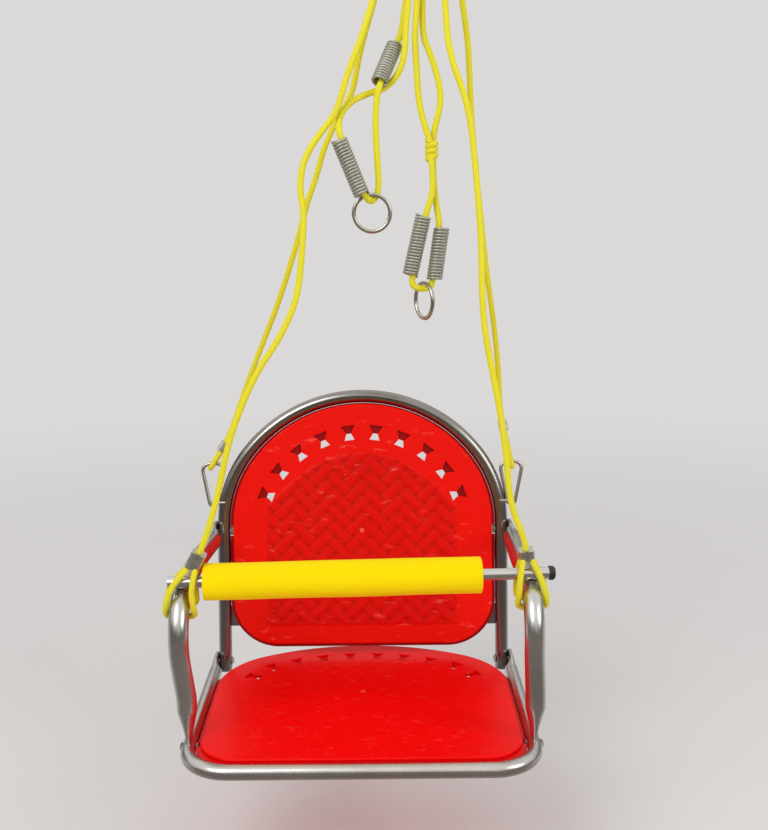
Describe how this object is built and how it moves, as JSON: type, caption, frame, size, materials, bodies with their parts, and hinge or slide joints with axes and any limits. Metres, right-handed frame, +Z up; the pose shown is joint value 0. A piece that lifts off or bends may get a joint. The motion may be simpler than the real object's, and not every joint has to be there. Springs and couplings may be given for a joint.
{
  "type": "child swing",
  "caption": "Hanging child's swing seat: a steel tube frame with moulded seat and backrest, armrests, a foam safety bar, rope suspension with hanging rings and a ceiling hook",
  "frame": {"origin": "centre of the ceiling hook's mounting face, where its threaded shank enters the ceiling", "axes": "+Z up along the shank, -Y to the front where the child's legs hang, +X to the picture's right"},
  "size_m": [0.3303, 0.2795, 0.8853],
  "materials": {
    "rope": "braided synthetic rope",
    "crimp_steel": "zinc-plated steel, pressed",
    "spring_steel": "close-wound wire",
    "ring_steel": "nickel-plated wire",
    "frame_chrome": "plated steel tube",
    "bar_chrome": "plated steel rod",
    "fasteners": "plated",
    "strips": "plain flat steel",
    "backrest_plastic": "moulded, woven relief",
    "seat_plastic": "moulded",
    "cap_rubber": "soft black cap",
    "foam": "closed-cell foam",
    "hook_steel": "zinc-plated"
  },
  "bodies": {
    "ceiling": {"ceiling_hook": "hook_steel"},
    "swing": {"front_rope_left": "rope", "front_rope_right": "rope", "rear_rope_left": "rope", "rear_rope_right": "rope", "ring_rope_left": "rope", "ring_rope_right_a": "rope", "ring_rope_right_b": "rope", "ring_rope_right_low": "rope", "sling_left_fore": "rope", "sling_left_aft": "rope", "sling_right_fore": "rope", "sling_right_aft": "rope", "rear_loop_left": "rope", "rear_loop_right": "rope", "rope_tail_right": "rope", "hook_loop_left": "rope", "hook_loop_right": "rope", "hanging_knot": "rope", "small_knot": "rope", "front_crimp_left": "crimp_steel", "front_crimp_right": "crimp_steel", "rear_crimp_left": "crimp_steel", "rear_crimp_right": "crimp_steel", "spring_sleeve_left_low": "spring_steel", "spring_sleeve_left_high": "spring_steel", "spring_sleeve_right_long": "spring_steel", "spring_sleeve_right_short": "spring_steel", "triangle_ring_left": "ring_steel", "triangle_ring_right": "ring_steel", "back_hoop_tube": "frame_chrome", "seat_frame_tube": "frame_chrome", "arm_tube_left": "frame_chrome", "arm_tube_right": "frame_chrome", "rope_staple_left": "frame_chrome", "rope_staple_right": "frame_chrome", "arm_front_rivets": "fasteners", "seat_rear_rivets": "fasteners", "arm_rear_bolts": "fasteners", "arm_bolt_nuts": "fasteners", "seat_panel_screws": "fasteners", "backrest_screws": "fasteners", "seat_cross_strips": "strips", "backrest_cross_strips": "strips", "backrest_panel": "backrest_plastic", "seat_panel": "seat_plastic"},
    "safety_bar": {"safety_bar_rod": "bar_chrome", "bar_end_cap": "cap_rubber"},
    "foam": {"foam_sleeve": "foam"},
    "ring_left": {"hanging_ring_left": "ring_steel"},
    "ring_right": {"hanging_ring_right": "ring_steel"}
  },
  "joints": [
    {"name": "swing", "type": "hinge", "parent": "ceiling", "child": "swing", "pos_m": [0, 0, -0.0596], "axis": [1, 0, 0], "range_deg": [-30, 30]},
    {"name": "safety_bar_slide", "type": "slide", "parent": "swing", "child": "safety_bar", "axis": [0.9996, 0.0274, 0.0089], "range_m": [0, 0.026]},
    {"name": "foam_turn", "type": "hinge", "parent": "safety_bar", "child": "foam", "pos_m": [-0.0596, -0.081, -0.70431], "axis": [0.9996, 0.0274, 0.0089], "continuous": true},
    {"name": "left_ring_swing", "type": "hinge", "parent": "swing", "child": "ring_left", "pos_m": [-0.0476, -0.0365, -0.39265], "axis": [0, 1, 0], "range_deg": [-12, 9]},
    {"name": "right_ring_swing", "type": "hinge", "parent": "swing", "child": "ring_right", "pos_m": [-0.0036, -0.0217, -0.46655], "axis": [0.8988, 0.4384, 0], "range_deg": [-12, 12]}
  ]
}
